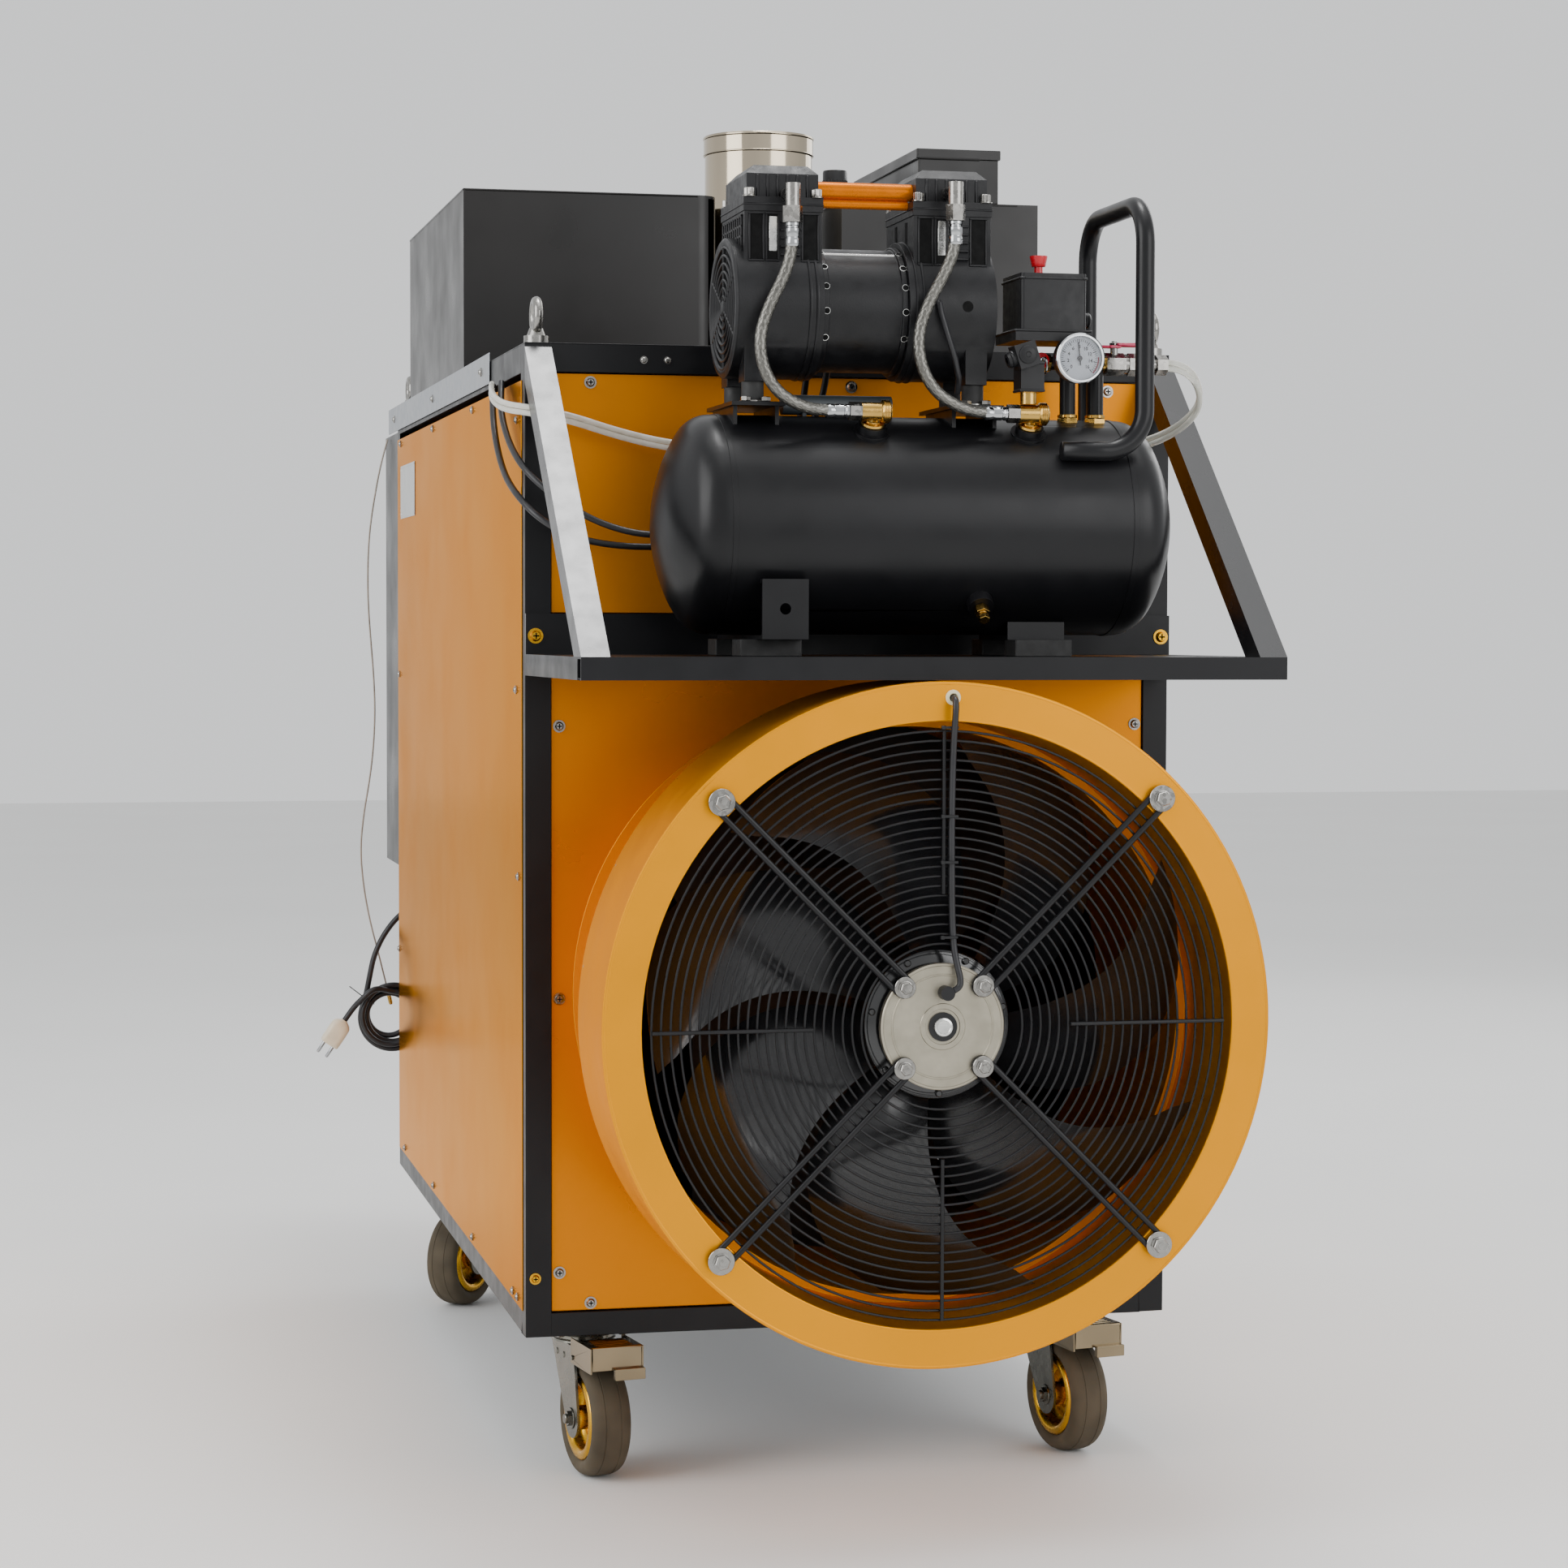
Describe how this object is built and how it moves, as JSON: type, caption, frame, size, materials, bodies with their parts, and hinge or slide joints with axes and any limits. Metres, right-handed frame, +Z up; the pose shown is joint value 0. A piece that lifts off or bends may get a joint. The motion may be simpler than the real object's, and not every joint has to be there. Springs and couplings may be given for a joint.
{
  "type": "mobile hot-air heater with a twin-cylinder compressor",
  "caption": "Casters-mounted oil-fired air heater cabinet with a ducted axial fan, flue stack and an oil-free twin-cylinder air compressor on a braced front shelf.",
  "frame": {"origin": "on the floor, under the middle of the machine's overall box without its free leads", "axes": "+X to the machine's right seen from the fan side, +Y from the fan to the rear wall, +Z up"},
  "size_m": [0.8088, 1.7322, 1.5051],
  "materials": {
    "frame_black": "black powder coat",
    "panel_yellow": "glossy orange-yellow enamel",
    "ring_amber": "satin amber enamel",
    "galvanised": "galvanised sheet",
    "zinc_plate": "zinc plated",
    "dark_steel": "heat-stained steel",
    "black_wire": "black coated wire",
    "stator_beige": "bare machined face",
    "fan_black": "satin black",
    "flue_chrome": "polished stainless",
    "box_black": "semi-gloss black enamel",
    "tank_black": "satin black enamel",
    "rubber_black": "matt rubber",
    "motor_black": "satin black over die-cast aluminium",
    "pipe_orange": "orange enamel",
    "braided_steel": "braided stainless",
    "brass": "turned brass",
    "black_plastic": "fine grain",
    "red_plastic": "smooth",
    "chrome": "bright",
    "clear_tube": "clear flexible",
    "cable_black": "smooth sheath",
    "sensor_wire": "thin grey sheath",
    "plug_white": "moulded off-white",
    "tyre_rubber": "grey-brown rubber on a gold zinc rim"
  },
  "bodies": {
    "machine": {"air_box": "box_black", "air_line": "clear_tube", "ball_valve": "chrome", "burner": "dark_steel", "burner_box": "box_black", "cabinet_frame": "frame_black", "capacitor": "black_plastic", "check_valves": "brass", "compressor_hoses": "braided_steel", "compressor_shelf": "frame_black", "control_box": "box_black", "crankcases": "motor_black", "crossover_pipe": "pipe_orange", "cylinder_heads": "motor_black", "fan_guard": "black_wire", "fan_shroud": "ring_amber", "fan_stator": "stator_beige", "fan_struts": "black_wire", "flue_stack": "flue_chrome", "front_panels": "panel_yellow", "gauge": "chrome", "heat_exchanger": "dark_steel", "lifting_eyes": "zinc_plate", "motor_case": "motor_black", "oil_tank": "box_black", "panel_screws": "zinc_plate", "power_cord": "cable_black", "power_cord_coil": "cable_black", "power_plug": "plug_white", "pressure_switch": "black_plastic", "pump_feet": "rubber_black", "rear_panel": "panel_yellow", "receiver": "tank_black", "receiver_handle": "tank_black", "receiver_pads": "rubber_black", "roof_angles": "galvanised", "sensor_lead": "sensor_wire", "side_panels": "panel_yellow", "solenoid_valve": "black_plastic", "strut_bolts": "zinc_plate", "switch_manifold": "tank_black", "top_deck": "frame_black", "wiring": "cable_black"},
    "caster_fork_fl_body": {"caster_fork_fl": "zinc_plate"},
    "caster_fork_fr_body": {"caster_fork_fr": "zinc_plate"},
    "caster_fork_rl_body": {"caster_fork_rl": "zinc_plate"},
    "caster_fork_rr_body": {"caster_fork_rr": "zinc_plate"},
    "caster_pedal_fl_body": {"caster_pedal_fl": "zinc_plate"},
    "caster_pedal_fr_body": {"caster_pedal_fr": "zinc_plate"},
    "caster_wheel_fl_body": {"caster_wheel_fl": "tyre_rubber"},
    "caster_wheel_fr_body": {"caster_wheel_fr": "tyre_rubber"},
    "caster_wheel_rl_body": {"caster_wheel_rl": "tyre_rubber"},
    "caster_wheel_rr_body": {"caster_wheel_rr": "tyre_rubber"},
    "drain_cock_body": {"drain_cock": "brass"},
    "fan_impeller_body": {"fan_impeller": "fan_black"},
    "gauge_needle_body": {"gauge_needle": "black_plastic"},
    "pump_rotor_body": {"pump_rotor": "dark_steel"},
    "safety_ring_body": {"safety_ring": "zinc_plate"},
    "switch_knob_body": {"switch_knob": "red_plastic"},
    "valve_lever_body": {"valve_lever": "red_plastic"}
  },
  "joints": [
    {"name": "fan_spin", "type": "hinge", "parent": "machine", "child": "fan_impeller_body", "pos_m": [0, -0.782, 0.5205], "axis": [0, 1, 0], "continuous": true},
    {"name": "pump_spin", "type": "hinge", "parent": "machine", "child": "pump_rotor_body", "pos_m": [-0.043, -0.666, 1.219], "axis": [1, 0, 0], "continuous": true},
    {"name": "switch_knob_push", "type": "slide", "parent": "machine", "child": "switch_knob_body", "axis": [0, 0, 1], "range_m": [-0.008, 0]},
    {"name": "gauge_needle_turn", "type": "hinge", "parent": "machine", "child": "gauge_needle_body", "pos_m": [0.165, -0.752, 1.17], "axis": [0, 1, 0], "range_deg": [-129, 141]},
    {"name": "valve_lever_turn", "type": "hinge", "parent": "machine", "child": "valve_lever_body", "pos_m": [0.222, -0.686, 1.1863], "axis": [0, 0, 1], "range_deg": [0, 90]},
    {"name": "drain_cock_turn", "type": "hinge", "parent": "machine", "child": "drain_cock_body", "pos_m": [0.065, -0.7511, 0.92282], "axis": [0, -0.7193, -0.6947], "range_deg": [0, 180]},
    {"name": "safety_ring_pull", "type": "slide", "parent": "machine", "child": "safety_ring_body", "axis": [0, -1, 0], "range_m": [0, 0.005], "stiffness_N_per_m": 600},
    {"name": "swivel_fl", "type": "hinge", "parent": "machine", "child": "caster_fork_fl_body", "pos_m": [-0.274, -0.402, 0.14], "axis": [0, 0, 1], "continuous": true},
    {"name": "roll_fl", "type": "hinge", "parent": "caster_fork_fl_body", "child": "caster_wheel_fl_body", "pos_m": [-0.26822, -0.43652, 0.0625], "axis": [0.9863, 0.165, 0], "continuous": true},
    {"name": "brake_fl", "type": "hinge", "parent": "caster_fork_fl_body", "child": "caster_pedal_fl_body", "pos_m": [-0.26624, -0.44836, 0.13], "axis": [0.9863, 0.165, 0], "range_deg": [0, 18]},
    {"name": "swivel_fr", "type": "hinge", "parent": "machine", "child": "caster_fork_fr_body", "pos_m": [0.252, -0.398, 0.14], "axis": [0, 0, 1], "continuous": true},
    {"name": "roll_fr", "type": "hinge", "parent": "caster_fork_fr_body", "child": "caster_wheel_fr_body", "pos_m": [0.25838, -0.43241, 0.0625], "axis": [0.9833, 0.1822, 0], "continuous": true},
    {"name": "brake_fr", "type": "hinge", "parent": "caster_fork_fr_body", "child": "caster_pedal_fr_body", "pos_m": [0.26057, -0.44421, 0.13], "axis": [0.9833, 0.1822, 0], "range_deg": [0, 18]},
    {"name": "swivel_rl", "type": "hinge", "parent": "machine", "child": "caster_fork_rl_body", "pos_m": [-0.267, 0.544, 0.14], "axis": [0, 0, 1], "continuous": true},
    {"name": "roll_rl", "type": "hinge", "parent": "caster_fork_rl_body", "child": "caster_wheel_rl_body", "pos_m": [-0.28855, 0.51642, 0.0625], "axis": [0.788, -0.6157, 0], "continuous": true},
    {"name": "swivel_rr", "type": "hinge", "parent": "machine", "child": "caster_fork_rr_body", "pos_m": [0.267, 0.544, 0.14], "axis": [0, 0, 1], "continuous": true},
    {"name": "roll_rr", "type": "hinge", "parent": "caster_fork_rr_body", "child": "caster_wheel_rr_body", "pos_m": [0.25972, 0.50976, 0.0625], "axis": [0.9781, -0.2079, 0], "continuous": true}
  ]
}
